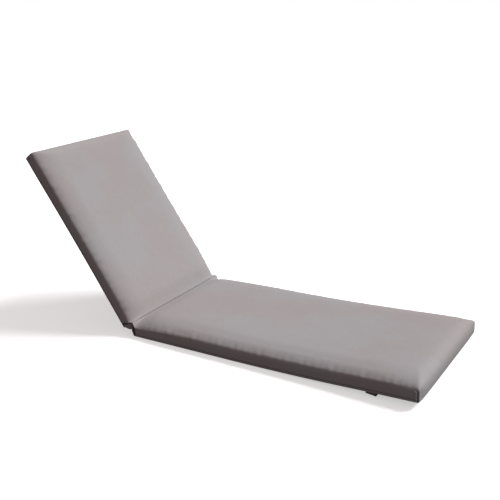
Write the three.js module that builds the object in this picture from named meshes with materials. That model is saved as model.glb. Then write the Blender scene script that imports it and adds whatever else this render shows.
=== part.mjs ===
// Sun lounger cushion: a back section raised at a sewn fold, a seat section that bows up towards its
// foot, the seam that joins them and a webbing strap under the foot end.
// Millimetres, +Z up. +X runs along the seat to its foot, and the back section leans up the other way.
// The pieces are placed from the fold, and the whole is then centred over its origin on the surface.

import * as THREE from 'three';
import { mergeVertices } from 'three/addons/utils/BufferGeometryUtils.js';

// Driving dimensions
const width = 600;
const seat = {
  length: 1200, crown: 72, wallTop: 36, underCrown: 0, foldBulge: 12.5, freeRadius: 26, freeSeam: 16,
};
const back = {
  length: 800, crown: 69, wallTop: 33, underCrown: 5, foldBulge: 21.5, freeRadius: 7, freeSeam: 5,
};
const backRaise = THREE.MathUtils.degToRad(56);
const foldHeight = 60;
const clearance = 0.3;

// Soft edges of a pad, seen in its sections
const shoulder = { reach: 110, power: 2.5, root: 0.4 };
const freeEdge = { wallTop: 30, cornerTop: 42, reach: 60, cornerReach: 70 };
const foldEdge = { roll: 3.5, reach: 6, sideReach: 18, sideFadeIn: 45, fadeIn: 100 };
const bottomEdge = { height: 7, reach: 5.3, power: 2.2, root: 0.5 };
const edgeBlend = 4;

// How the sewn cover draws the filling in
const foldRadius = 7;
const foldSeamInset = 5;
const sidePull = 4;
const sideBulge = { amount: 2.5, sharpness: 1.6, lean: 1 };
const foldEndBulge = { sharpness: 1.8, lean: 0.724, spread: 40 };
const freeEndBulge = { amount: 3, sharpness: 1.6, lean: 1, spread: 8 };
const cornerLift = { height: 2, along: 130, across: 150 };
const cornerChannel = { depth: 2.6, spread: 3 };

// The seat's bow: flat on the surface up to bowStart, then rising to the foot
const bowStart = 420;
const bowRise = 27;

// Seam allowance in the fold, and how far each pad stands back from the fold line
const seamStrip = { thickness: 2.4, depth: 5, below: 1.4, endInset: 8, steps: 12 };
const foldStandOff = 0.15;

// Webbing strap under the foot
const strap = {
  width: 36, thickness: 2, centre: 1018, inset: 8, bendRadius: 5, lowHinge: 4, arch: 1.5,
  wallHeight: 20, runSteps: 12, widthSteps: 3, bendSteps: 4,
};

// Grid of a pad: steps along, across and up, gathered towards the edges
const steps = { along: 34, across: 22, up: 5 };
const edgeGather = 2.2;
const mergeDistance = 1e-4;

// Looks: colour and roughness
const clothLook = { color: 0xa49e9d, roughness: 0.85 };
const seamLook = { color: 0x8f8988, roughness: 0.9 };
const webbingLook = { color: 0x3c3a39, roughness: 0.8 };

const { clamp, lerp, smoothstep } = THREE.MathUtils;

// A number from 0 to 1, with its steps gathered at both ends
function gathered(t) {
  const half = t < 0.5 ? 2 * t : 2 * (1 - t);
  const eased = 0.5 * half ** edgeGather;
  return t < 0.5 ? eased : 1 - eased;
}

// Height of a soft edge, from 0 at the seam to 1 at its reach, upright at the seam
function softEdge(distance, reach, power, root) {
  const t = clamp(distance / reach, 0, 1);
  return (1 - (1 - t) ** power) ** root;
}

// The lower of two soft edges, rounded where they meet
function blendEdges(a, b) {
  return clamp(1 - ((1 - a) ** edgeBlend + (1 - b) ** edgeBlend) ** (1 / edgeBlend), 0, 1);
}

// Height of the top of a pad, u from the fold and v from the middle line
function topHeight(u, v, { length, crown: fullHeight, wallTop }) {
  const fromSide = width / 2 - Math.abs(v);
  const fromFree = length - u;
  const filled = smoothstep(u, 0, foldEdge.fadeIn);
  const rounded = smoothstep(u, 0, foldEdge.sideFadeIn);
  const nearFree = 1 - smoothstep(fromFree, 0, freeEdge.cornerReach);
  const nearCorner = nearFree * (1 - smoothstep(fromSide, 0, freeEdge.cornerReach));
  const openWall = lerp(wallTop, freeEdge.wallTop, nearFree);
  const freeWall = lerp(openWall, freeEdge.cornerTop, nearCorner);
  const wall = lerp(foldHeight - foldEdge.roll, freeWall, rounded);
  const crown = lerp(foldHeight, fullHeight, filled);
  const sideReach = lerp(foldEdge.sideReach, shoulder.reach, rounded);
  const side = softEdge(fromSide, sideReach, shoulder.power, shoulder.root);
  const free = softEdge(fromFree, freeEdge.reach, shoulder.power, shoulder.root);
  const fold = softEdge(u, foldEdge.reach, bottomEdge.power, bottomEdge.root);
  return wall + (crown - wall) * blendEdges(blendEdges(side, free), fold);
}

// Height of the underside of a pad, flat but for its rolled edges, raised corners and any crown
function underHeight(u, v, length, underCrown) {
  const { height, reach, power, root } = bottomEdge;
  const fromSide = width / 2 - Math.abs(v);
  const fromFree = length - u;
  const ends = blendEdges(softEdge(u, reach, power, root), softEdge(fromFree, reach, power, root));
  const rolled = height * (1 - blendEdges(softEdge(fromSide, reach, power, root), ends));
  const lift = cornerLift.height
    * clamp(1 - fromFree / cornerLift.along, 0, 1) ** 2
    * clamp(1 - fromSide / cornerLift.across, 0, 1) ** 2;
  const crown = underCrown * Math.sin(Math.PI * u / length) * (1 - (2 * v / width) ** 2);
  return rolled + lift - crown;
}

// Outline of a pad from above: sides drawn in at mid length, corners rounded
function planPoint(u, v, { length, freeRadius }) {
  const drawn = v * (1 - (2 * sidePull / width) * Math.sin(Math.PI * u / length));
  const radius = u < length / 2 ? foldRadius : freeRadius;
  const innerU = clamp(u, radius, length - radius);
  const innerV = clamp(v, radius - width / 2, width / 2 - radius);
  const du = u - innerU;
  const dv = v - innerV;
  const reach = Math.hypot(du, dv);
  const scale = reach > 0 ? Math.max(Math.abs(du), Math.abs(dv)) / reach : 1;
  return { u: innerU + du * scale, v: drawn - dv * (1 - scale) };
}

// How far a wall stands out at a height, 0 at its bottom edge and 1 at its top one.
// A lean under 1 puts the fullest place below the middle.
function wallBulge(rise, amount, { sharpness, lean }) {
  return amount * Math.sin(Math.PI * rise ** lean) ** sharpness;
}

// Fullness of an end wall across the width, 1 in the middle and none at the corner seams
function acrossEnd(v, { spread }) {
  return 1 - (2 * v / width) ** spread;
}

// The channel that a corner seam pulls into the side wall
function channelDepth(fromSeam) {
  return cornerChannel.depth * Math.exp(-((fromSeam / cornerChannel.spread) ** 2));
}

// A filled pad lying flat, its fold edge at x = 0 and its free end at x = length
function padGeometry(pad) {
  const { length, underCrown, foldBulge, freeSeam } = pad;
  const box = new THREE.BoxGeometry(1, 1, 1, steps.along, steps.across, steps.up);
  const position = box.attributes.position;
  for (let i = 0; i < position.count; i += 1) {
    const along = position.getX(i) + 0.5;
    const across = position.getY(i) + 0.5;
    const rise = position.getZ(i) + 0.5;
    const u = length * gathered(along);
    const v = width * (gathered(across) - 0.5);
    const top = topHeight(u, v, pad);
    const under = underHeight(u, v, length, underCrown);
    const plan = planPoint(u, v, pad);
    if (along === 0) plan.u -= wallBulge(rise, foldBulge, foldEndBulge) * acrossEnd(v, foldEndBulge);
    if (along === 1) {
      plan.u += wallBulge(rise, freeEndBulge.amount, freeEndBulge) * acrossEnd(v, freeEndBulge);
    }
    if (across === 0 || across === 1) {
      const out = wallBulge(rise, sideBulge.amount, sideBulge) * Math.sin(Math.PI * u / length);
      plan.v += Math.sign(v) * (out - channelDepth(u - foldSeamInset) - channelDepth(length - u - freeSeam));
    }
    position.setXYZ(i, plan.u, plan.v, lerp(under, top, rise));
  }
  box.deleteAttribute('normal');
  box.deleteAttribute('uv');
  return mergeVertices(box, mergeDistance);
}

// Height and slope of the seat's bow at a distance from the fold
function bow(x) {
  const t = Math.max(0, x - bowStart) / (seat.length - bowStart);
  return { height: bowRise * t * t, slope: 2 * bowRise * t / (seat.length - bowStart) };
}

// The seat pad, bent along its bow
function seatGeometry() {
  const geometry = padGeometry(seat);
  const position = geometry.attributes.position;
  for (let i = 0; i < position.count; i += 1) {
    const x = position.getX(i);
    const z = position.getZ(i);
    const { height, slope } = bow(x);
    position.setX(i, x + foldStandOff - z * slope);
    position.setZ(i, z + height);
  }
  return geometry;
}

// The seam strip hangs along the middle of the wedge between the two pads
function seamGeometry() {
  const half = seamStrip.thickness / 2;
  const bevel = half / 2;
  const section = new THREE.Shape();
  section.moveTo(-half, -seamStrip.depth);
  section.lineTo(half, -seamStrip.depth);
  section.lineTo(half, -bevel);
  section.lineTo(half - bevel, 0);
  section.lineTo(bevel - half, 0);
  section.lineTo(-half, -bevel);
  section.closePath();
  const long = width - 2 * seamStrip.endInset;
  const options = { depth: long, steps: seamStrip.steps, bevelEnabled: false };
  const geometry = new THREE.ExtrudeGeometry(section, options);
  geometry.translate(0, -seamStrip.below, -long / 2);
  geometry.rotateX(Math.PI / 2);
  return geometry;
}

// Underside of the bowed seat above a point of the strap
function undersideAt(x, y) {
  return underHeight(x, y, seat.length, seat.underCrown) + bow(x).height;
}

// Outline of the strap across the seat: down at one side, across, and up at the other.
// Its lower corners are rounded, and heights run from 0 on the low run to 1 at the sewn ends.
function strapSection() {
  const { thickness, inset, bendRadius, wallHeight, runSteps } = strap;
  const outer = width / 2 - sidePull - inset;
  const inner = outer - thickness;
  const innerRadius = bendRadius - thickness;
  const section = new THREE.Shape();
  section.moveTo(-outer, wallHeight);
  section.lineTo(-outer, bendRadius);
  section.absarc(bendRadius - outer, bendRadius, bendRadius, Math.PI, 1.5 * Math.PI, false);
  for (let i = 1; i <= runSteps; i += 1) {
    section.lineTo(lerp(bendRadius - outer, outer - bendRadius, i / runSteps), 0);
  }
  section.absarc(outer - bendRadius, bendRadius, bendRadius, 1.5 * Math.PI, 2 * Math.PI, false);
  section.lineTo(outer, wallHeight);
  section.lineTo(inner, wallHeight);
  section.lineTo(inner, bendRadius);
  section.absarc(inner - innerRadius, bendRadius, innerRadius, 2 * Math.PI, 1.5 * Math.PI, true);
  for (let i = 1; i <= runSteps; i += 1) {
    section.lineTo(lerp(inner - innerRadius, innerRadius - inner, i / runSteps), thickness);
  }
  section.absarc(innerRadius - inner, bendRadius, innerRadius, 1.5 * Math.PI, Math.PI, true);
  section.lineTo(-inner, wallHeight);
  section.closePath();
  return { section, outer };
}

// The strap, hanging from the bottom edges of both sides, lower on its foot side
function strapGeometry() {
  const { section, outer } = strapSection();
  const options = {
    depth: strap.width, steps: strap.widthSteps, bevelEnabled: false, curveSegments: strap.bendSteps,
  };
  const geometry = new THREE.ExtrudeGeometry(section, options);
  geometry.rotateX(Math.PI / 2);
  geometry.rotateZ(Math.PI / 2);
  geometry.translate(strap.centre - strap.width / 2, 0, 0);
  const position = geometry.attributes.position;
  for (let i = 0; i < position.count; i += 1) {
    const x = position.getX(i);
    const y = position.getY(i);
    const z = position.getZ(i);
    const towardsFoot = (x - strap.centre) / strap.width + 0.5;
    const arch = strap.arch * Math.cos(0.5 * Math.PI * clamp(y / outer, -1, 1));
    const low = strap.lowHinge * (1 - towardsFoot) + arch;
    const sewn = undersideAt(x, y) - clearance;
    const up = smoothstep(z, strap.thickness, strap.wallHeight);
    position.setZ(i, lerp(z + low, sewn, up));
  }
  return geometry;
}

function named(name, geometry, look) {
  const mesh = new THREE.Mesh(geometry, new THREE.MeshStandardMaterial({ ...look, metalness: 0 }));
  mesh.name = name;
  return mesh;
}

// The back section turns about the fold line at the top of the seat
function backSection() {
  const pad = named('back_pad', padGeometry(back), clothLook);
  pad.rotation.z = Math.PI;
  pad.position.set(-foldStandOff, 0, -foldHeight);
  const section = new THREE.Group();
  section.rotation.y = backRaise;
  section.position.z = foldHeight;
  section.add(pad);
  return section;
}

// The seam strip points down the middle of the wedge
function foldSeam() {
  const strip = named('fold_seam', seamGeometry(), seamLook);
  strip.rotation.y = backRaise / 2;
  strip.position.z = foldHeight;
  return strip;
}

const cushion = new THREE.Group();
cushion.add(
  named('seat_pad', seatGeometry(), clothLook),
  backSection(),
  foldSeam(),
  named('foot_strap', strapGeometry(), webbingLook),
);

const extent = new THREE.Box3().setFromObject(cushion, true);
cushion.position.x = -(extent.min.x + extent.max.x) / 2;

export default cushion;
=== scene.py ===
"""Sun lounger cushion: a raised back and a bowed seat in one woven cover, the seam that joins
them at the fold and the webbing strap under the foot, on a pale floor in soft light."""

import math

import bmesh
import bpy
import numpy as np
from bpy.props import FloatProperty, FloatVectorProperty, IntProperty, PointerProperty
from mathutils import Matrix, Vector


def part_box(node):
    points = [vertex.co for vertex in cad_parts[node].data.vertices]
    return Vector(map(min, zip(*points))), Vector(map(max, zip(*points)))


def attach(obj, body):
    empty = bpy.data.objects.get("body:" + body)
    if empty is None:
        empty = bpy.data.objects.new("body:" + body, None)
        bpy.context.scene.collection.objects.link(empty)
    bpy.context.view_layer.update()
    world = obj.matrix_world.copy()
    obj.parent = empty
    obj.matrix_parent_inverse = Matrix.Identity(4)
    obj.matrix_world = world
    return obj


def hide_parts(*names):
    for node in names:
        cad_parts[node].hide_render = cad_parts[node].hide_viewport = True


bl_info = {
    "name": "Lounger Cushion",
    "version": (1, 0, 0),
    "blender": (4, 5, 0),
    "location": "View3D > Sidebar > Cushion",
    "description": "Models a two-part sun lounger cushion with its fold seam and strap",
    "category": "Add Mesh",
}

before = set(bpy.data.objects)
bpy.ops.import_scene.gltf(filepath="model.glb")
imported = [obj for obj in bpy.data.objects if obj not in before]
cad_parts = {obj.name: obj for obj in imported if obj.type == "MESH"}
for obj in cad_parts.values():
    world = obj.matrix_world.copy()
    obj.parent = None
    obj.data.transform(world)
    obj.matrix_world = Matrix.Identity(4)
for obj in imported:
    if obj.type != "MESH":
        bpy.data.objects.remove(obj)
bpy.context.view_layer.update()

# Sizes of the cushion, in metres, as its solids have them but for the droop at the end of its foot
WIDTH = 0.6
BACK_RAISE = math.radians(56)
FOLD_HEIGHT = 0.06
FOLD_STAND_OFF = 0.00015
BOW_START = 0.42
BOW_RISE = 0.027
DROOP_START = 0.98
DROOP = 0.006

# Soft edges of a pad's top: how far in from the sides, the free end and the fold the crown is
# reached, and the power and root of the curve. The sides' root changes over a run from the fold.
SHOULDER_REACH = 0.11
SHOULDER_POWER = 2.4
FOLD_ROOT_FADE = (0.12, 0.32)
FREE_WALL = 0.03
FREE_REACH = 0.055
FREE_POWER = 2.5
FREE_ROOT = 0.4
FREE_CORNER_REACH = 0.07
FOLD_ROLL = 0.0026
FOLD_REACH = 0.004
FOLD_SIDE_REACH = 0.018
FOLD_SIDE_FADE = 0.01
FOLD_FADE = 0.075
CLOSED_END = 0.075
CLOSED_SHARE = 0.8

# The side walls are pinched lower beside the fold
PINCH_DEPTH = 0.009
PINCH_PLACE = 0.03
PINCH_SPREAD = 0.07

# Rolled edges and raised corners of the underside
BOTTOM_ROLL = 0.007
BOTTOM_REACH = 0.0053
BOTTOM_POWER = 2.2
BOTTOM_ROOT = 0.5
CORNER_LIFT = 0.002
CORNER_LIFT_ALONG = 0.13
CORNER_LIFT_ACROSS = 0.15

# How the cover draws the filling in and lets it stand out
FOLD_RADIUS = 0.0015
SIDE_PULL = 0.004
SIDE_BULGE = 0.0025
FREE_END_BULGE = 0.003
BULGE_SPREAD = 0.03
END_BULGE_POWER = 8
FOLD_BULGE_SHARPNESS = 1.8
FOLD_BULGE_LEAN = 0.724
FOLD_CORNER_SHARE = 0.8
FOLD_CORNER_POWER = 100
CORNER_DRAWN = 0.35
DRAWN_SPREAD = 0.03

# The two sections: length, height of the crown, of the side walls and of the free end's two
# corners, crown of the underside, bulge of the end at the fold, the free end's corner radius and
# seam, how far the free end runs out of square, the spread of the seam at the fold and how far it
# leans in from its top to its bottom, the root of the sides' curve at the fold and beyond it, and
# the seed of the waves.
SEAT = {
    "length": 1.2, "crown": 0.075, "wall": 0.047, "corners": (0.047, 0.046), "under": 0.0,
    "bulge": 0.0125, "radius": 0.006, "seam": 0.004, "drawn": 0.009, "fold_spread": 0.0075,
    "lean": 0.001, "roots": (0.8, 0.56), "seed": 11,
}
BACK = {
    "length": 0.8, "crown": 0.071, "wall": 0.043, "corners": (0.043, 0.043), "under": 0.005,
    "bulge": 0.0215, "radius": 0.007, "seam": 0.005, "drawn": 0.0, "fold_spread": 0.005,
    "lean": 0.012, "roots": (0.5, 0.5), "seed": 31,
}

# Corner seams: the groove, the welt beside it with its painted highlight, and where they fade and
# hook at the top
FOLD_SEAM_INSET = 0.003
SEAM_DEPTH = 0.0034
SEAM_SPREAD = 0.0015
SEAM_TOP = 0.95
SEAM_TOP_LOSS = 0.85
WELT_ASIDE = 0.0048
WELT_HEIGHT = 0.0045
WELT_SPREAD = 0.002
WELT_PAINTED_HIGHLIGHT = 0.8
HOOK_START = 0.84
HOOK_REACH = 0.007

# The hem line above the bottom edge: a shallow groove, darkened with painted shade
HEM_RISE = 0.1
HEM_DEPTH = 0.0009
HEM_SPREAD = 0.04
HEM_SHADE = 0.7
HEM_END = 0.004

# Waves of the cover along its top edges, and the long low lie of its top: their lengths, the
# place and spread of each row, and where they start and end
SIDE_WAVES = ((0.031, 0.044, 0.067, 0.103), (0.029, 0.041, 0.058, 0.113))
SIDE_WAVE_PLACE = 0.006
SIDE_WAVE_SPREAD = 0.016
END_WAVES = (0.051, 0.083, 0.137)
END_WAVE_PLACE = 0.012
END_WAVE_SPREAD = 0.03
END_WAVE_SHARE = 0.35
WAVE_CLEAR = (0.01, 0.06)
WAVE_RISE = (0.45, 1.0)
WALL_WAVE_RISE = (0.3, 0.8)
WALL_WAVE_SHARE = 0.8
WALL_WAVE_REACH = 0.02
LIE_ALONG = (0.21, 0.34, 0.47)
LIE_ACROSS = (0.19, 0.31)
LIE_SLANTS = (0.31, 0.12)
LIE_FROM_SIDE = (0.02, 0.12)
LIE_FROM_END = (0.03, 0.15)

# Cloth simulation of a cover: its settings, its frames, how far a point may move, and its grip on
# the filling, which is firm along the bottom edges and at the four corner seams
CLOTH = {
    "quality": 5, "mass": 0.2, "use_pressure": True, "uniform_pressure_force": 2.0,
    "shrink_min": 0.0, "vertex_group_mass": "held", "pin_stiffness": 0.6, "bending_stiffness": 5.0,
}
CLOTH_FRAMES = 20
CLOTH_LIMIT = 0.004
CLOTH_GRIP = 0.22
SEAM_GRIP_SPREAD = 0.02
BOTTOM_GRIP_FALL = 4

# The seam allowance in the fold: two layers of cloth that hang in the wedge, with a wavy hem
ALLOWANCE_DEPTH = 0.005
ALLOWANCE_BELOW = 0.0014
ALLOWANCE_THICK = 0.0018
ALLOWANCE_INSET = 0.008
ALLOWANCE_FACES = (6, 240)
ALLOWANCE_WAVES = (0.023, 0.037, 0.071)
ALLOWANCE_SEED = 53
ALLOWANCE_ASIDE = 0.0003
ALLOWANCE_UNEVEN = 0.08
ALLOWANCE_ROUND = 0.0004

# The row of stitches along the fold
STITCH_WIDE = 0.0009
STITCH_THICK = 0.0007
STITCH_PITCH = 1.35
STITCH_ASIDE = 0.0004
STITCH_BELOW = 0.0012

# Spacing of a pad's faces: so many fine ones next to each edge, in this width
EDGE_REACH = 0.06
EDGE_STEPS = {"along": 18, "across": 14}
EDGE_GATHER = 1.5
RISE_GATHER = 1.3
MOST_CUTS = 100  # one subdivide makes no more than this
ON_WALL = 1e-4

# The strap under the foot: its webbing, where it hangs, and how it turns at its sewn ends
STRAP_WIDTH = 0.036
STRAP_THICK = 0.002
STRAP_CENTRE = 1.018
STRAP_INSET = 0.008
STRAP_BEND = 0.005
STRAP_LOW_HINGE = 0.004
STRAP_ARCH = 0.0015
STRAP_WALL = 0.02
STRAP_FACES = (12, 260)
STRAP_SEWN_IN = 0.0003
STRAP_SHARE = 0.9
STRAP_ROUND = 0.0005

# Grain of the cover cloth, the webbing and the thread: its scale, and its share of the colour
CLOUD_SCALE = 3.2
CLOUD_RANGE = (0.38, 0.62)
MOTTLE_SCALE = 38.0
SLUB_SCALE = (60, 900, 1)
MOTTLE_SHARE = 0.05
SLUB_SHARE = 0.07
THREAD_SHARE = 0.035
# Strength of the painted shade in the seams and on the hem, and of the painted highlight on the
# welts
PAINTED_SEAM_SHADE = 0.9
WEAR_SCALE = 120.0
TWIST_TURNS = (3900.0, 5200.0)

# The stage
FLOOR_SIZE = 120
FLOOR_GLOW = 0.5
KEY_TOWARDS = (0.60, 0.70, 0.88)
KEY_COLOUR = (0.97, 0.985, 1.0)
HORIZON = 0.15

# The fold lies this far along the row frame, found from the strap's solid
FOLD_X = (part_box("foot_strap")[0].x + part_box("foot_strap")[1].x) / 2 - STRAP_CENTRE

# The photograph's camera: where it looks from, in degrees and metres from a point over the fold
VIEW_POINT = (0.35, 0.0, 0.2)
VIEW_AZIMUTH = 32.42
VIEW_ELEVATION = 18.72
VIEW_ROLL = -2.29
VIEW_DISTANCE = 2.916
VIEW_ASIDE = 0.0228
VIEW_UP = 0.1203
VIEW_FOCAL_PIXELS = 723.4
PICTURE_SIDE = 500
SENSOR_WIDTH = 36.0


class CoverProps(bpy.types.PropertyGroup):
    """Sizes and colours of the cover"""

    steps_along: IntProperty(
        name="Steps along", description="Rows of faces per metre", default=118, min=50,
    )
    steps_across: IntProperty(
        name="Steps across", description="Columns of faces", default=66, min=36,
    )
    steps_up: IntProperty(
        name="Steps up", description="Faces in the height of a wall", default=14, min=4,
    )
    wave: FloatProperty(
        name="Edge waves", description="Height of the soft waves along the top edges",
        default=0.0018, unit="LENGTH",
    )
    slack: FloatProperty(
        name="Slack", description="Height of the long, low undulations of the top",
        default=0.0011, unit="LENGTH",
    )
    warm: FloatVectorProperty(
        name="Warm tone", description="Warmer tone of the cloth", subtype="COLOR", size=3,
        default=(0.335, 0.303, 0.300), min=0, max=1,
    )
    cool: FloatVectorProperty(
        name="Cool tone", description="Cooler tone of the cloth", subtype="COLOR", size=3,
        default=(0.332, 0.320, 0.322), min=0, max=1,
    )
    thread_pitch: FloatProperty(
        name="Thread pitch", description="Distance between two threads of the weave",
        default=0.0009, unit="LENGTH",
    )


class StrapProps(bpy.types.PropertyGroup):
    """Sizes and colours of the strap and the thread"""

    webbing: FloatVectorProperty(
        name="Webbing", description="Colour of the webbing", subtype="COLOR", size=3,
        default=(0.15, 0.148, 0.143), min=0, max=1,
    )
    rib_pitch: FloatProperty(
        name="Rib pitch", description="Distance between two ribs of the webbing",
        default=0.0022, unit="LENGTH",
    )
    thread: FloatVectorProperty(
        name="Thread", description="Colour of the sewing thread", subtype="COLOR", size=3,
        default=(0.17, 0.155, 0.15), min=0, max=1,
    )
    stitch_length: FloatProperty(
        name="Stitch length", description="Length of one stitch", default=0.0034, unit="LENGTH",
    )


class StageProps(bpy.types.PropertyGroup):
    """Light and floor"""

    sun_strength: FloatProperty(
        name="Key light", description="Strength of the key light", default=3.8,
    )
    sun_softness: FloatProperty(
        name="Softness", description="Angle that the key light fills", default=math.radians(28),
        subtype="ANGLE",
    )
    sky_fill: FloatProperty(
        name="Fill", description="Light from all round above", default=0.30,
    )
    floor_fill: FloatProperty(
        name="Floor fill", description="Light from below the horizon", default=0.09,
    )
    fill_tint: FloatVectorProperty(
        name="Fill tint", description="Colour of the fill light", subtype="COLOR", size=3,
        default=(1.0, 0.845, 0.86), min=0, max=1,
    )
    floor_shade: FloatProperty(
        name="Floor", description="Paleness of the floor", default=0.86, min=0, max=1,
        subtype="FACTOR",
    )


def smooth(value, low, high):
    """0 below the low value and 1 above the high one, eased between them."""
    t = np.clip((value - low) / (high - low), 0, 1)
    return t * t * (3 - 2 * t)


def mix(a, b, t):
    """From a to b as t goes from 0 to 1."""
    return a + (b - a) * t


def bell(distance, spread):
    """1 at no distance, falling softly to nothing past about twice the spread."""
    return np.exp(-((distance / spread) ** 2))


def soft_edge(distance, reach, power, root):
    """Height of a soft edge, 0 at the seam and 1 at its reach, upright at the seam."""
    t = np.clip(distance / reach, 0, 1)
    return (1 - (1 - t) ** power) ** root


def blend_edges(a, b):
    """The lower of two soft edges, rounded where they meet."""
    return np.clip(1 - ((1 - a) ** 4 + (1 - b) ** 4) ** 0.25, 0, 1)


def top_height(u, v, shape):
    """Height of a pad's top, u from the fold and v from its middle line."""
    from_side = WIDTH / 2 - np.abs(v)
    from_free = shape["length"] - u
    filled = smooth(u, 0, FOLD_FADE)
    rounded = smooth(u, 0, FOLD_SIDE_FADE)
    near_free = 1 - smooth(from_free, 0, FREE_CORNER_REACH)
    near_corner = near_free * (1 - smooth(from_side, 0, FREE_CORNER_REACH))
    open_wall = mix(shape["wall"], FREE_WALL, near_free)
    corner_wall = mix(*shape["corners"], smooth(v, -FREE_CORNER_REACH, FREE_CORNER_REACH))
    free_wall = mix(open_wall, corner_wall, near_corner)
    closed = CLOSED_SHARE * (1 - smooth(from_side, 0, CLOSED_END))
    pinch = PINCH_DEPTH * bell(u - PINCH_PLACE, PINCH_SPREAD) * rounded
    wall = mix(FOLD_HEIGHT - FOLD_ROLL * (1 - closed), free_wall, rounded) - pinch
    crown = mix(FOLD_HEIGHT, shape["crown"], filled)
    side_reach = mix(FOLD_SIDE_REACH, SHOULDER_REACH, rounded)
    root = mix(*shape["roots"], smooth(u, *FOLD_ROOT_FADE))
    side = soft_edge(from_side, side_reach, SHOULDER_POWER, root)
    free = soft_edge(from_free, FREE_REACH, FREE_POWER, FREE_ROOT)
    fold = soft_edge(u, FOLD_REACH, BOTTOM_POWER, BOTTOM_ROOT)
    return wall + (crown - wall) * blend_edges(blend_edges(side, free), fold)


def under_height(u, v, length, under_crown):
    """Height of a pad's underside: flat but for rolled edges, raised corners and any crown."""
    from_side = WIDTH / 2 - np.abs(v)
    from_free = length - u
    side, fold, free = (
        soft_edge(d, BOTTOM_REACH, BOTTOM_POWER, BOTTOM_ROOT) for d in (from_side, u, from_free)
    )
    rolled = BOTTOM_ROLL * (1 - blend_edges(side, blend_edges(fold, free)))
    along = np.clip(1 - from_free / CORNER_LIFT_ALONG, 0, 1)
    across = np.clip(1 - from_side / CORNER_LIFT_ACROSS, 0, 1)
    crown = under_crown * np.sin(np.pi * u / length) * (1 - (2 * v / WIDTH) ** 2)
    return rolled + CORNER_LIFT * along**2 * across**2 - crown


def plan_point(u, v, shape):
    """Outline from above: sides drawn in at mid length and corners rounded."""
    length = shape["length"]
    drawn = v * (1 - (2 * SIDE_PULL / WIDTH) * np.sin(np.pi * u / length))
    radius = np.where(u < length / 2, FOLD_RADIUS, shape["radius"])
    inner_u = np.clip(u, radius, length - radius)
    inner_v = np.clip(v, radius - WIDTH / 2, WIDTH / 2 - radius)
    du, dv = u - inner_u, v - inner_v
    reach = np.hypot(du, dv)
    scale = np.where(reach > 0, np.maximum(abs(du), abs(dv)) / np.maximum(reach, 1e-9), 1)
    return inner_u + du * scale, drawn - dv * (1 - scale)


def bulge(rise, amount, sharpness=1.6, lean=1.0):
    """How far a wall stands out, fullest below the middle where the lean is under 1."""
    return amount * np.sin(np.pi * np.clip(rise, 0, 1) ** lean) ** sharpness


def bow(x):
    """Height and slope of the seat's bow, whose end droops a little, this far from the fold."""
    run, end = SEAT["length"] - BOW_START, SEAT["length"] - DROOP_START
    t, s = np.maximum(0, x - BOW_START) / run, np.maximum(0, x - DROOP_START) / end
    return BOW_RISE * t**2 - DROOP * s**2, 2 * BOW_RISE * t / run - 2 * DROOP * s / end


def ripple(x, waves, seed):
    """A smooth uneven wave between -1 and 1, from a few wavelengths."""
    draw = np.random.default_rng(seed)
    total = sum(np.sin(2 * np.pi * (x / w + draw.random())) * draw.uniform(0.6, 1) for w in waves)
    return total / len(waves)


def gathered(t, gather):
    """A number from 0 to 1, its steps gathered at both ends."""
    half = np.where(t < 0.5, 2 * t, 2 * (1 - t))
    eased = 0.5 * half**gather
    return np.where(t < 0.5, eased, 1 - eased)


def spaced(t, count, size, edge_steps):
    """Places along a size, of so many steps: fine ones next to both edges and even ones between."""
    step = np.minimum(t, 1 - t) * count
    near = EDGE_REACH * np.clip(step / edge_steps, 0, 1) ** EDGE_GATHER
    even = (size / 2 - EDGE_REACH) * np.clip((step - edge_steps) / (count / 2 - edge_steps), 0, 1)
    return np.where(t < 0.5, near + even, size - near - even)


def deselect():
    """Back to object mode, with nothing selected."""
    if bpy.context.object and bpy.context.object.mode != "OBJECT":
        bpy.ops.object.mode_set(mode="OBJECT")
    bpy.ops.object.select_all(action="DESELECT")


def make_active(obj):
    """Selects one object alone and makes it the active one."""
    deselect()
    obj.select_set(True)
    bpy.context.view_layer.objects.active = obj


def points_of(obj):
    """The points of an object's mesh, one row each."""
    flat = np.empty(len(obj.data.vertices) * 3)
    obj.data.vertices.foreach_get("co", flat)
    return flat.reshape(-1, 3)


def set_points(obj, points):
    obj.data.vertices.foreach_set("co", np.ascontiguousarray(points, dtype=np.float32).ravel())
    obj.data.update()


def apply_modifier(obj, kind, **settings):
    """Adds a modifier with its settings and applies it."""
    make_active(obj)
    bpy.ops.object.modifier_add(type=kind)
    modifier = obj.modifiers[-1]
    for key, value in settings.items():
        setattr(modifier, key, value)
    bpy.ops.object.modifier_apply(modifier=modifier.name)


def cut_block(name, cuts):
    """A unit cube cut into a grid: its edges along X, Y and Z are subdivided in turn."""
    deselect()
    bpy.ops.mesh.primitive_cube_add(size=1)
    block = bpy.context.object
    block.name = block.data.name = name
    bpy.ops.object.mode_set(mode="EDIT")
    bpy.ops.mesh.select_mode(type="EDGE")
    for axis, count in enumerate(cuts):
        bpy.ops.mesh.select_all(action="DESELECT")
        edit = bmesh.from_edit_mesh(block.data)
        for edge in edit.edges:
            step = edge.verts[1].co - edge.verts[0].co
            edge.select_set(abs(step[axis]) > 0.5 * step.length)
        bmesh.update_edit_mesh(block.data)
        bpy.ops.mesh.subdivide(number_cuts=min(count - 1, MOST_CUTS))
    bpy.ops.object.mode_set(mode="OBJECT")
    return block


def store(obj, name, values):
    """Keeps three numbers on each point, which a subdivision then spreads to the new ones."""
    layer = obj.data.attributes.new(name, "FLOAT_VECTOR", "POINT")
    layer.data.foreach_set("vector", np.ascontiguousarray(values, dtype=np.float32).ravel())


def stored(obj, name):
    """The three numbers kept on each point."""
    flat = np.empty(len(obj.data.vertices) * 3)
    obj.data.attributes[name].data.foreach_get("vector", flat)
    return flat.reshape(-1, 3)


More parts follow.
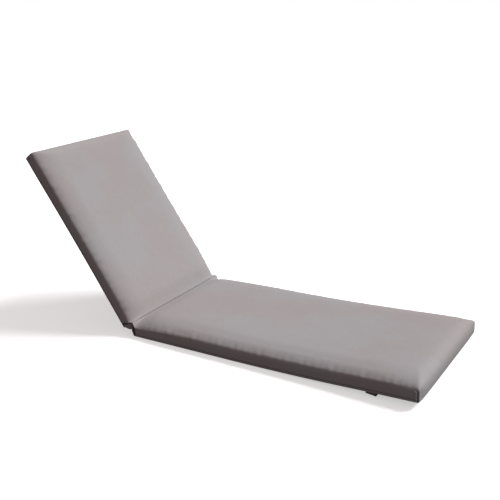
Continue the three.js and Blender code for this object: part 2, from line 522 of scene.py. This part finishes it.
def pad_points(u, v, rise, shape):
    """Points of a filled pad lying flat, its fold edge at x = 0 and its free end at x = length."""
    length = shape["length"]
    z = mix(under_height(u, v, length, shape["under"]), top_height(u, v, shape), rise)
    x, y = plan_point(u, v, shape)
    fold_corner = 1 - FOLD_CORNER_SHARE * (2 * v / WIDTH) ** FOLD_CORNER_POWER
    fold_out = bulge(rise, shape["bulge"], FOLD_BULGE_SHARPNESS, FOLD_BULGE_LEAN) * fold_corner
    x = x - np.where(u < 1e-6, fold_out, 0)
    level = z / shape["crown"]
    free_out = bulge(level, FREE_END_BULGE) * bell(length - u, BULGE_SPREAD)
    x = x + free_out * (1 - (2 * v / WIDTH) ** END_BULGE_POWER)
    near_free = smooth(u, length - CORNER_LIFT_ALONG, length)
    drawn_in = 0.5 - v / WIDTH + CORNER_DRAWN * bell(v + WIDTH / 2, DRAWN_SPREAD)
    x = x - shape["drawn"] * drawn_in * near_free
    side_out = bulge(level, SIDE_BULGE) * bell(WIDTH / 2 - np.abs(v), BULGE_SPREAD)
    y = y + np.sign(v) * side_out * np.sin(np.pi * u / length)
    return np.stack([x, y, z], axis=1)


def corner_seams(u, v, rise, shape):
    """How far the side walls stand out at the corner seams, and the painted shade in their grooves
    and painted highlight on the welt.
    """
    at_side = np.abs(v) > WIDTH / 2 - ON_WALL
    hook = HOOK_REACH * smooth(rise, HOOK_START, 1) ** 2
    shown = 1 - SEAM_TOP_LOSS * smooth(rise, SEAM_TOP, 1.0)
    from_free = shape["length"] - u - shape["seam"] - hook
    from_fold = u - FOLD_SEAM_INSET - shape["lean"] * (1 - rise)
    free_groove = bell(from_free, SEAM_SPREAD) * shown
    fold_groove = bell(from_fold, shape["fold_spread"]) * shown
    welt = bell(from_free - WELT_ASIDE, WELT_SPREAD) * shown
    offset = WELT_HEIGHT * welt - SEAM_DEPTH * (free_groove + fold_groove)
    # Painted shade in the grooves, less a painted highlight along the welt
    shade = free_groove + fold_groove - WELT_PAINTED_HIGHLIGHT * welt
    return np.where(at_side, offset, 0), np.where(at_side, shade, 0)


def edge_waves(u, v, rise, length, seed):
    """Soft, uneven waves along the top edges, where the cover turns down over the filling."""
    from_side = WIDTH / 2 - np.abs(v)
    from_end = np.minimum(u, length - u)
    first, second = (ripple(u, lengths, seed + side) for side, lengths in enumerate(SIDE_WAVES))
    waves = np.where(v > 0, first, second)
    at_side = bell(from_side - SIDE_WAVE_PLACE, SIDE_WAVE_SPREAD)
    along_side = waves * at_side * smooth(from_end, *WAVE_CLEAR)
    crossing = ripple(v, END_WAVES, seed + 5)
    at_free = bell(length - u - END_WAVE_PLACE, END_WAVE_SPREAD)
    along_end = crossing * at_free * smooth(from_side, *WAVE_CLEAR)
    return (along_side + END_WAVE_SHARE * along_end) * smooth(rise, *WAVE_RISE)


def weave_map(obj):
    """A UV map in metres, so that the weave keeps its scale over the top, walls and underside."""
    mesh = obj.data
    cut = stored(obj, "cut")
    count = len(mesh.loops)
    corners = np.empty(count, dtype=np.int64)
    mesh.loops.foreach_get("vertex_index", corners)
    starts = np.empty(len(mesh.polygons), dtype=np.int64)
    totals = np.empty(len(mesh.polygons), dtype=np.int64)
    mesh.polygons.foreach_get("loop_start", starts)
    mesh.polygons.foreach_get("loop_total", totals)
    middle = np.add.reduceat(cut[corners], starts, axis=0) / totals[:, None]
    face = np.repeat(np.arange(len(starts)), totals)
    u, v, rise = cut[corners].T
    height = rise * FOLD_HEIGHT
    _, centre_v, centre_rise = middle[face].T
    lid = (centre_rise > 1 - ON_WALL) | (centre_rise < ON_WALL)
    side = ~lid & (np.abs(centre_v) > WIDTH / 2 - ON_WALL)
    first = np.where(lid | side, u, v)
    second = np.where(lid, v, height)
    layer = mesh.uv_layers.new(name="weave")
    layer.data.foreach_set("uv", np.stack([first, second], axis=1).astype(np.float32).ravel())


def shade_map(obj, values):
    """Keeps the painted shade of each point, from -1 for the painted highlight on a welt to 1 for
    the painted shade in a seam or on the hem.
    """
    layer = obj.data.attributes.new("seam_shade", "FLOAT", "POINT")
    layer.data.foreach_set("value", np.clip(values, -1, 1).astype(np.float32))


def settle_cover(obj):
    """Cloth simulation: the cover swells against its seams, and no point moves past the limit."""
    before = points_of(obj)
    u, v, rise = stored(obj, "cut").T
    length = u.max()
    held = obj.vertex_groups.new(name=CLOTH["vertex_group_mass"])
    from_end = np.minimum(u, length - u)
    from_side = WIDTH / 2 - np.abs(v)
    corner = bell(np.hypot(from_end, from_side), SEAM_GRIP_SPREAD)
    seam = np.maximum(1 - rise * BOTTOM_GRIP_FALL, corner)
    grip = np.clip(np.maximum(seam, CLOTH_GRIP), 0, 1)
    for index, weight in enumerate(grip):
        held.add([index], float(weight), "REPLACE")
    make_active(obj)
    bpy.ops.object.modifier_add(type="CLOTH")
    cloth = obj.modifiers[-1]
    for key, value in CLOTH.items():
        setattr(cloth.settings, key, value)
    cloth.settings.effector_weights.gravity = 0
    cloth.point_cache.frame_start = 1
    cloth.point_cache.frame_end = CLOTH_FRAMES
    scene = bpy.context.scene
    for number in range(1, CLOTH_FRAMES + 1):
        scene.frame_set(number)
    moved = obj.evaluated_get(bpy.context.evaluated_depsgraph_get())
    flat = np.empty(len(moved.data.vertices) * 3)
    moved.data.vertices.foreach_get("co", flat)
    after = flat.reshape(-1, 3)
    obj.modifiers.remove(cloth)
    scene.frame_set(1)
    step = after - before
    reach = np.linalg.norm(step, axis=1, keepdims=True)
    set_points(obj, before + step * np.minimum(1, CLOTH_LIMIT / np.maximum(reach, 1e-9)))


def sew_and_wave(pad, shape, cover):
    """Corner seams, hem line, edge waves and the long low lie of the top, on the finished faces."""
    length, seed = shape["length"], shape["seed"]
    u, v, rise = stored(pad, "cut").T
    points = points_of(pad)
    outwards = np.sign(v)
    from_side = WIDTH / 2 - np.abs(v)
    from_end = np.minimum(u, length - u)
    at_side, at_free = np.abs(v) > WIDTH / 2 - ON_WALL, u > length - ON_WALL
    offset, shade = corner_seams(u, v, rise, shape)
    hem = bell(rise - HEM_RISE, HEM_SPREAD) * (1 - bell(from_end, HEM_END))
    points[:, 1] += outwards * np.where(at_side, offset - HEM_DEPTH * hem, 0)
    points[:, 0] += np.where(at_free, -HEM_DEPTH * hem, 0)
    waves = cover.wave * edge_waves(u, v, rise, length, seed)
    lie = ripple(u + LIE_SLANTS[0] * v, LIE_ALONG, seed + 2)
    lie = lie * ripple(v - LIE_SLANTS[1] * u, LIE_ACROSS, seed + 3)
    crowned = smooth(from_side, *LIE_FROM_SIDE) * smooth(from_end, *LIE_FROM_END)
    points[:, 2] += (waves + cover.slack * lie * crowned) * smooth(rise, 0.5, 1)
    near_wall = np.abs(v) > WIDTH / 2 - WALL_WAVE_REACH
    points[:, 1] += outwards * waves * smooth(rise, *WALL_WAVE_RISE) * WALL_WAVE_SHARE * near_wall
    set_points(pad, points)
    # The hem's painted shade joins the seams' painted shade and the welts' painted highlight
    shade_map(pad, shade + HEM_SHADE * hem * (at_side | at_free))


def cushion_pad(name, shape):
    """A filled pad lying flat: crowned, drawn in at its sides, swollen, sewn and waved."""
    cover = bpy.context.scene.cushion_cover
    length = shape["length"]
    cuts = (round(cover.steps_along * length), cover.steps_across, cover.steps_up)
    pad = cut_block(name, cuts)
    along, across, rise = (points_of(pad) + 0.5).T
    u = spaced(along, cuts[0], length, EDGE_STEPS["along"])
    v = spaced(across, cuts[1], WIDTH, EDGE_STEPS["across"]) - WIDTH / 2
    rise = gathered(rise, RISE_GATHER)
    store(pad, "cut", np.stack([u, v, rise], axis=1))
    set_points(pad, pad_points(u, v, rise, shape))
    settle_cover(pad)
    apply_modifier(pad, "SUBSURF", levels=1, render_levels=1)
    sew_and_wave(pad, shape, cover)
    weave_map(pad)
    return pad


def bend_seat(points):
    """The seat follows its bow, square to the curve."""
    height, slope = bow(points[:, 0])
    x = points[:, 0] + FOLD_STAND_OFF - points[:, 2] * slope + FOLD_X
    return np.stack([x, points[:, 1], points[:, 2] + height], axis=1)


def raise_back(points):
    """The back turns about the fold line and leans away from the foot."""
    along = points[:, 0] + FOLD_STAND_OFF
    above = points[:, 2] - FOLD_HEIGHT
    cosine, sine = math.cos(BACK_RAISE), math.sin(BACK_RAISE)
    x = FOLD_X - cosine * along + sine * above
    z = FOLD_HEIGHT + sine * along + cosine * above
    return np.stack([x, -points[:, 1], z], axis=1)


def finish_piece(piece, material, slot, *nodes, angle=None):
    """Smooths and colours a piece, hangs it under the root body and hides any nodes of the frame
    that it stands for.
    """
    piece.data.materials.clear()
    piece.data.materials.append(material)
    make_active(piece)
    if angle is None:
        bpy.ops.object.shade_smooth()
    else:
        bpy.ops.object.shade_smooth_by_angle(angle=angle)
    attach(piece, "root")
    if nodes:
        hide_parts(*nodes)


class Finish:
    """One material: its nodes are added by node(), and its numbers combine as Shade values."""

    def __init__(self, name):
        self.material = bpy.data.materials.new(name)
        self.material.use_nodes = True
        self.tree = self.material.node_tree
        self.tree.nodes.clear()
        self.shader = self.tree.nodes.new("ShaderNodeBsdfPrincipled")
        output = self.tree.nodes.new("ShaderNodeOutputMaterial")
        self.tree.links.new(self.shader.outputs[0], output.inputs[0])

    def connect(self, value, socket):
        if isinstance(value, Shade):
            value = value.socket
        if isinstance(value, bpy.types.NodeSocket):
            self.tree.links.new(value, socket)
        else:
            socket.default_value = value

    def node(self, kind, settings=None, inputs=None, output=0):
        made = self.tree.nodes.new(kind)
        for key, value in (settings or {}).items():
            if key == "stops":
                for stop, (place, tone) in zip(made.color_ramp.elements, value):
                    stop.position, stop.color = place, (*tone, 1) if len(tone) == 3 else tone
            else:
                setattr(made, key, value)
        for key, value in (inputs or {}).items():
            self.connect(value, made.inputs[key])
        return Shade(self, made.outputs[output])

    def set(self, **inputs):
        for key, value in inputs.items():
            self.connect(value, self.shader.inputs[key.replace("_", " ")])

    def noise(self, vector, scale, detail=2.0, roughness=0.5):
        inputs = {"Vector": vector, "Scale": scale, "Detail": detail, "Roughness": roughness}
        return self.node("ShaderNodeTexNoise", None, inputs)

    def tint(self, factor, first, second, blend="MIX"):
        made = self.tree.nodes.new("ShaderNodeMix")
        made.data_type, made.blend_type = "RGBA", blend
        sockets = made.inputs[0], made.inputs[6], made.inputs[7]
        for socket, value in zip(sockets, (factor, first, second)):
            self.connect(value, socket)
        return made.outputs[2]


class Shade:
    """A number in a shader, which Python's operators combine into Math nodes."""

    def __init__(self, finish, socket):
        self.finish, self.socket = finish, socket

    def math(self, operation, first, second=None):
        inputs = {0: first} if second is None else {0: first, 1: second}
        return self.finish.node("ShaderNodeMath", {"operation": operation}, inputs)

    def __add__(self, other):
        return self.math("ADD", self, other)

    def __radd__(self, other):
        return self.math("ADD", other, self)

    def __sub__(self, other):
        return self.math("SUBTRACT", self, other)

    def __rsub__(self, other):
        return self.math("SUBTRACT", other, self)

    def __mul__(self, other):
        return self.math("MULTIPLY", self, other)

    def __rmul__(self, other):
        return self.math("MULTIPLY", other, self)

    def sine(self):
        return self.math("SINE", self)

    def size(self):
        return self.math("ABSOLUTE", self)

    def split(self, axis):
        return self.finish.node("ShaderNodeSeparateXYZ", None, {0: self}, axis)


def rgba(colour):
    return (*colour, 1.0)


def woven_cloth(name, first, second, pitch):
    """Plain-woven matt cloth: threads, slubs and cloudy tones, with painted shade in the seams and
    on the hem and a painted highlight on the welts.
    """
    finish = Finish(name)
    uv = finish.node("ShaderNodeUVMap", {"uv_map": "weave"})
    place = finish.node("ShaderNodeTexCoord", None, None, "Object")
    warp_turn = uv.split(0) * (math.pi / pitch)
    weft_turn = uv.split(1) * (math.pi / pitch)
    threads = warp_turn.sine() * weft_turn.sine()
    ribs = (warp_turn.sine().size() + weft_turn.sine().size()) * 0.5
    clouds = finish.noise(place, CLOUD_SCALE, 3.0, 0.55)
    mottle = finish.noise(place, MOTTLE_SCALE, 2.0, 0.6)
    stretched = finish.node("ShaderNodeMapping", None, {0: uv, 3: SLUB_SCALE})
    slub = finish.noise(stretched, 1.0, 2.0, 0.6)
    seam = finish.node("ShaderNodeAttribute", {"attribute_name": "seam_shade"}, None, 2)
    inputs = {0: clouds, 1: CLOUD_RANGE[0], 2: CLOUD_RANGE[1]}
    soft = finish.node("ShaderNodeMapRange", {"interpolation_type": "SMOOTHSTEP"}, inputs)
    tone = finish.tint(soft.socket, rgba(first), rgba(second))
    level = 1.0 + (mottle - 0.5) * MOTTLE_SHARE + (slub - 0.5) * SLUB_SHARE + threads * THREAD_SHARE
    # Painted shade in the seams and on the hem, and a painted highlight on the welts, from the
    # seam_shade attribute
    level = level - seam * PAINTED_SEAM_SHADE
    grey = finish.node("ShaderNodeCombineColor", None, {0: level, 1: level, 2: level})
    finish.set(
        Base_Color=finish.tint(1.0, tone, grey.socket, "MULTIPLY"),
        Roughness=0.86 + (slub - 0.5) * 0.12 - ribs * 0.05,
    )
    height = threads * 0.5 + ribs * 0.35 + slub * 0.6
    inputs = {"Strength": 0.35, "Distance": 0.00025, "Height": height}
    fine = finish.node("ShaderNodeBump", None, inputs)
    inputs = {"Strength": 0.3, "Distance": 0.002, "Height": mottle, "Normal": fine}
    finish.set(Normal=finish.node("ShaderNodeBump", None, inputs))
    finish.shader.inputs["Sheen Weight"].default_value = 0.12
    finish.shader.inputs["Sheen Roughness"].default_value = 0.5
    finish.shader.inputs["Specular IOR Level"].default_value = 0.25
    return finish.material


def ribbed_webbing(name, colour, pitch):
    """Flat webbing with ribs across it and an uneven tone."""
    finish = Finish(name)
    uv = finish.node("ShaderNodeUVMap", {"uv_map": "UVMap"})
    across, along = uv.split(0) * STRAP_WIDTH, uv.split(1) * WIDTH
    rib = (along * (math.pi / pitch)).sine().size()
    cord = (across * (math.pi / (pitch * 0.8))).sine().size()
    wear = finish.noise(finish.node("ShaderNodeTexCoord", None, None, "Object"), WEAR_SCALE, 3.0)
    level = 0.8 + rib * 0.25 + (wear - 0.5) * 0.3
    grey = finish.node("ShaderNodeCombineColor", None, {0: level, 1: level, 2: level})
    finish.set(Base_Color=finish.tint(1.0, rgba(colour), grey.socket, "MULTIPLY"))
    finish.set(Roughness=0.75 + (wear - 0.5) * 0.2)
    inputs = {"Strength": 0.6, "Distance": 0.0005, "Height": rib * 0.7 + cord * 0.3}
    finish.set(Normal=finish.node("ShaderNodeBump", None, inputs))
    return finish.material


def sewing_thread(name, colour):
    """Twisted sewing thread."""
    finish = Finish(name)
    place = finish.node("ShaderNodeTexCoord", None, None, "Object")
    twist = (place.split(1) * TWIST_TURNS[1] + place.split(0) * TWIST_TURNS[0]).sine()
    level = 1.0 + twist * 0.18
    grey = finish.node("ShaderNodeCombineColor", None, {0: level, 1: level, 2: level})
    finish.set(Base_Color=finish.tint(1.0, rgba(colour), grey.socket, "MULTIPLY"))
    finish.set(Roughness=0.6 + twist * 0.08)
    return finish.material


def cover_material():
    known = bpy.data.materials.get("cover cloth")
    cover = bpy.context.scene.cushion_cover
    return known or woven_cloth("cover cloth", cover.warm, cover.cool, cover.thread_pitch)


class CUSHION_OT_seat(bpy.types.Operator):
    """Adds the seat section, bowed up towards its foot"""

    bl_idname = "cushion.seat"
    bl_label = "Seat Section"

    def execute(self, context):
        pad = cushion_pad("seat_section", SEAT)
        set_points(pad, bend_seat(points_of(pad)))
        finish_piece(pad, cover_material(), "cover_cloth", "seat_pad")
        return {"FINISHED"}


class CUSHION_OT_back(bpy.types.Operator):
    """Adds the back section, raised at the fold"""

    bl_idname = "cushion.back"
    bl_label = "Back Section"

    def execute(self, context):
        pad = cushion_pad("back_section", BACK)
        set_points(pad, raise_back(points_of(pad)))
        finish_piece(pad, cover_material(), "cover_cloth", "back_pad")
        return {"FINISHED"}


class CUSHION_OT_fold(bpy.types.Operator):
    """Adds the seam allowance that hangs in the fold, and the row of stitches along it"""

    bl_idname = "cushion.fold"
    bl_label = "Fold Seam"

    def execute(self, context):
        sewing = context.scene.cushion_strap
        low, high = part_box("fold_seam")
        self.allowance()
        pitch = sewing.stitch_length * STITCH_PITCH
        deselect()
        bpy.ops.mesh.primitive_uv_sphere_add(segments=8, ring_count=6, radius=0.5)
        stitch = context.object
        stitch.name = stitch.data.name = "fold_stitches"
        points = points_of(stitch)
        scale = np.array([STITCH_WIDE, sewing.stitch_length, STITCH_THICK])
        start = np.array([FOLD_X - STITCH_ASIDE, low.y + pitch, FOLD_HEIGHT - STITCH_BELOW])
        set_points(stitch, points * scale + start)
        count = int((high.y - low.y) / pitch) - 1
        settings = {
            "count": count, "use_relative_offset": False, "use_constant_offset": True,
            "constant_offset_displace": (0, pitch, 0),
        }
        apply_modifier(stitch, "ARRAY", **settings)
        finish_piece(stitch, sewing_thread("sewing thread", sewing.thread), "cover_cloth")
        return {"FINISHED"}

    def allowance(self):
        """The strip of seam allowance, in the middle of the wedge, with a softly wavy hem."""
        deselect()
        rows, columns = ALLOWANCE_FACES
        bpy.ops.mesh.primitive_grid_add(x_subdivisions=rows, y_subdivisions=columns, size=1)
        strip = bpy.context.object
        strip.name = strip.data.name = "fold_allowance"
        down, along, _ = (points_of(strip) + 0.5).T
        y = (along - 0.5) * (WIDTH - 2 * ALLOWANCE_INSET)
        wave = ripple(y, ALLOWANCE_WAVES, ALLOWANCE_SEED)
        depth = ALLOWANCE_BELOW + down * ALLOWANCE_DEPTH * (1 - ALLOWANCE_UNEVEN * wave**2)
        aside = ALLOWANCE_ASIDE * wave * down
        cosine, sine = math.cos(BACK_RAISE / 2), math.sin(BACK_RAISE / 2)
        x = FOLD_X - sine * depth + cosine * aside
        z = FOLD_HEIGHT - cosine * depth - sine * aside
        set_points(strip, np.stack([x, y, z], axis=1))
        strip.data.uv_layers[0].name = "weave"
        layer = strip.data.uv_layers[0].data
        flat = np.empty(len(layer) * 2)
        layer.foreach_get("uv", flat)
        layer.foreach_set("uv", (flat.reshape(-1, 2) * (ALLOWANCE_DEPTH, WIDTH)).ravel())
        apply_modifier(strip, "SOLIDIFY", thickness=ALLOWANCE_THICK, offset=0)
        apply_modifier(strip, "BEVEL", width=ALLOWANCE_ROUND, segments=2, limit_method="ANGLE")
        finish_piece(strip, cover_material(), "cover_cloth", "fold_seam")


def strap_path(along):
    """Across and up of the strap's outer face, by distance along it from one sewn end."""
    outer = WIDTH / 2 - SIDE_PULL - STRAP_INSET
    wall = STRAP_WALL - STRAP_BEND
    turn = STRAP_BEND * math.pi / 2
    run = 2 * (outer - STRAP_BEND)
    marks = np.cumsum([0, wall, turn, run, turn, wall])
    s = along * marks[-1]
    first = np.clip((s - marks[1]) / turn, 0, 1) * math.pi / 2
    second = np.clip((s - marks[3]) / turn, 0, 1) * math.pi / 2
    y = -outer + STRAP_BEND * (1 - np.cos(first)) + np.clip(s - marks[2], 0, run)
    y += STRAP_BEND * np.sin(second)
    z = STRAP_WALL - np.clip(s, 0, wall) - STRAP_BEND * np.sin(first)
    z += STRAP_BEND * (1 - np.cos(second)) + np.clip(s - marks[4], 0, wall)
    return y, z


class CUSHION_OT_strap(bpy.types.Operator):
    """Adds the webbing strap that hangs under the foot end"""

    bl_idname = "cushion.strap"
    bl_label = "Foot Strap"

    def execute(self, context):
        look = context.scene.cushion_strap
        deselect()
        rows, columns = STRAP_FACES
        bpy.ops.mesh.primitive_grid_add(x_subdivisions=rows, y_subdivisions=columns, size=1)
        strap = context.object
        strap.name = strap.data.name = "foot_webbing"
        across, along, _ = (points_of(strap) + 0.5).T
        y, z = strap_path(along)
        x = STRAP_CENTRE + (across - 0.5) * STRAP_WIDTH
        outer = WIDTH / 2 - SIDE_PULL - STRAP_INSET
        arch = STRAP_ARCH * np.cos(0.5 * np.pi * np.clip(y / outer, -1, 1))
        low = STRAP_LOW_HINGE * (1 - across) + arch
        sewn = under_height(x, y, SEAT["length"], 0) + bow(x)[0] - STRAP_SEWN_IN
        up = smooth(z, STRAP_THICK, STRAP_WALL)
        set_points(strap, np.stack([x + FOLD_X, y, mix(z + low, sewn, up)], axis=1))
        apply_modifier(strap, "SOLIDIFY", thickness=STRAP_THICK * STRAP_SHARE, offset=1)
        apply_modifier(strap, "BEVEL", width=STRAP_ROUND, segments=2, limit_method="ANGLE")
        material = ribbed_webbing("webbing", look.webbing, look.rib_pitch)
        finish_piece(strap, material, "strap_webbing", "foot_strap")
        return {"FINISHED"}


def place_camera(scene):
    """The camera stands at the photograph's angle, with its slight roll."""
    azimuth, elevation, roll = (math.radians(a) for a in (VIEW_AZIMUTH, VIEW_ELEVATION, VIEW_ROLL))
    back = Vector((
        math.sin(azimuth) * math.cos(elevation),
        -math.cos(azimuth) * math.cos(elevation),
        math.sin(elevation),
    ))
    level = Vector((math.cos(azimuth), math.sin(azimuth), 0))
    upright = back.cross(level)
    right = level * math.cos(roll) + upright * math.sin(roll)
    up = upright * math.cos(roll) - level * math.sin(roll)
    centre = Vector(VIEW_POINT) + Vector((FOLD_X, 0, 0))
    deselect()
    bpy.ops.object.camera_add()
    camera = bpy.context.object
    turned = Matrix((right, up, back)).transposed().to_4x4()
    stand = centre + back * VIEW_DISTANCE + right * VIEW_ASIDE + up * VIEW_UP
    camera.matrix_world = Matrix.Translation(stand) @ turned
    camera.data.sensor_width = SENSOR_WIDTH
    camera.data.lens = VIEW_FOCAL_PIXELS / PICTURE_SIDE * SENSOR_WIDTH
    camera.data.clip_end = 200
    scene.camera = camera


class CUSHION_OT_stage(bpy.types.Operator):
    """Adds the floor, the key light, the fill and the camera"""

    bl_idname = "cushion.stage"
    bl_label = "Floor, Lights and Camera"

    def execute(self, context):
        scene, look = context.scene, context.scene.cushion_stage
        scene.view_settings.view_transform = "Standard"
        place_camera(scene)
        deselect()
        bpy.ops.mesh.primitive_plane_add(size=FLOOR_SIZE)
        floor = context.object
        floor.name = "floor"
        paint = Finish("pale floor")
        pale = paint.noise(paint.node("ShaderNodeTexCoord", None, None, "Object"), 2.0)
        shade = look.floor_shade + (pale - 0.5) * 0.01
        grey = paint.node("ShaderNodeCombineColor", None, {0: shade, 1: shade, 2: shade})
        paint.set(Base_Color=grey, Roughness=0.9)
        paint.shader.inputs["Emission Color"].default_value = (1, 1, 1, 1)
        paint.shader.inputs["Emission Strength"].default_value = FLOOR_GLOW
        floor.data.materials.append(paint.material)
        floor.visible_diffuse = False
        floor.visible_glossy = False
        deselect()
        bpy.ops.object.light_add(type="SUN")
        key = context.object
        towards = Vector(KEY_TOWARDS).normalized()
        key.rotation_mode = "QUATERNION"
        key.rotation_quaternion = towards.to_track_quat("Z", "Y")
        key.data.energy = look.sun_strength
        key.data.angle = look.sun_softness
        key.data.color = KEY_COLOUR
        self.fill(scene, look)
        return {"FINISHED"}

    def fill(self, scene, look):
        """An even sky that is bright above the horizon and weak below it."""
        world = bpy.data.worlds.new("soft fill")
        scene.world = world
        world.use_nodes = True
        tree = world.node_tree
        tree.nodes.clear()
        place = tree.nodes.new("ShaderNodeTexCoord")
        axes = tree.nodes.new("ShaderNodeSeparateXYZ")
        spread = tree.nodes.new("ShaderNodeMapRange")
        path = tree.nodes.new("ShaderNodeLightPath")
        choose = tree.nodes.new("ShaderNodeMix")
        shine = tree.nodes.new("ShaderNodeBackground")
        output = tree.nodes.new("ShaderNodeOutputWorld")
        spread.inputs["From Min"].default_value = -HORIZON
        spread.inputs["From Max"].default_value = HORIZON
        spread.inputs["To Min"].default_value = look.floor_fill
        spread.inputs["To Max"].default_value = look.sky_fill
        tree.links.new(place.outputs["Generated"], axes.inputs[0])
        tree.links.new(axes.outputs[2], spread.inputs["Value"])
        tint = tree.nodes.new("ShaderNodeMix")
        tint.data_type = "RGBA"
        tint.inputs[6].default_value = (*look.fill_tint, 1)
        tint.inputs[7].default_value = (1, 1, 1, 1)
        tree.links.new(path.outputs["Is Camera Ray"], tint.inputs[0])
        tree.links.new(tint.outputs[2], shine.inputs["Color"])
        tree.links.new(path.outputs["Is Camera Ray"], choose.inputs[0])
        tree.links.new(spread.outputs[0], choose.inputs[2])
        choose.inputs[3].default_value = 1.0
        tree.links.new(choose.outputs[0], shine.inputs["Strength"])
        tree.links.new(shine.outputs[0], output.inputs[0])


class CUSHION_PT_panel(bpy.types.Panel):
    """Lists the pieces of the cushion"""

    bl_label = "Lounger Cushion"
    bl_idname = "CUSHION_PT_panel"
    bl_space_type = "VIEW_3D"
    bl_region_type = "UI"
    bl_category = "Cushion"

    def draw(self, context):
        for operator in OPERATORS:
            self.layout.operator(operator.bl_idname)
        for group in ("cushion_cover", "cushion_strap", "cushion_stage"):
            box = self.layout.box()
            props = getattr(context.scene, group)
            for name in props.__annotations__:
                box.prop(props, name)


OPERATORS = (CUSHION_OT_stage, CUSHION_OT_seat, CUSHION_OT_back, CUSHION_OT_fold, CUSHION_OT_strap)
GROUPS = {"cushion_cover": CoverProps, "cushion_strap": StrapProps, "cushion_stage": StageProps}


def register():
    for group in GROUPS.values():
        bpy.utils.register_class(group)
    for operator in OPERATORS:
        bpy.utils.register_class(operator)
    bpy.utils.register_class(CUSHION_PT_panel)
    for name, group in GROUPS.items():
        setattr(bpy.types.Scene, name, PointerProperty(type=group))


def unregister():
    for name in GROUPS:
        delattr(bpy.types.Scene, name)
    bpy.utils.unregister_class(CUSHION_PT_panel)
    for operator in reversed(OPERATORS):
        bpy.utils.unregister_class(operator)
    for group in reversed(GROUPS.values()):
        bpy.utils.unregister_class(group)


def main():
    register()
    bpy.ops.cushion.stage()
    bpy.ops.cushion.seat()
    bpy.ops.cushion.back()
    bpy.ops.cushion.fold()
    bpy.ops.cushion.strap()
    deselect()


if __name__ == "__main__":
    main()
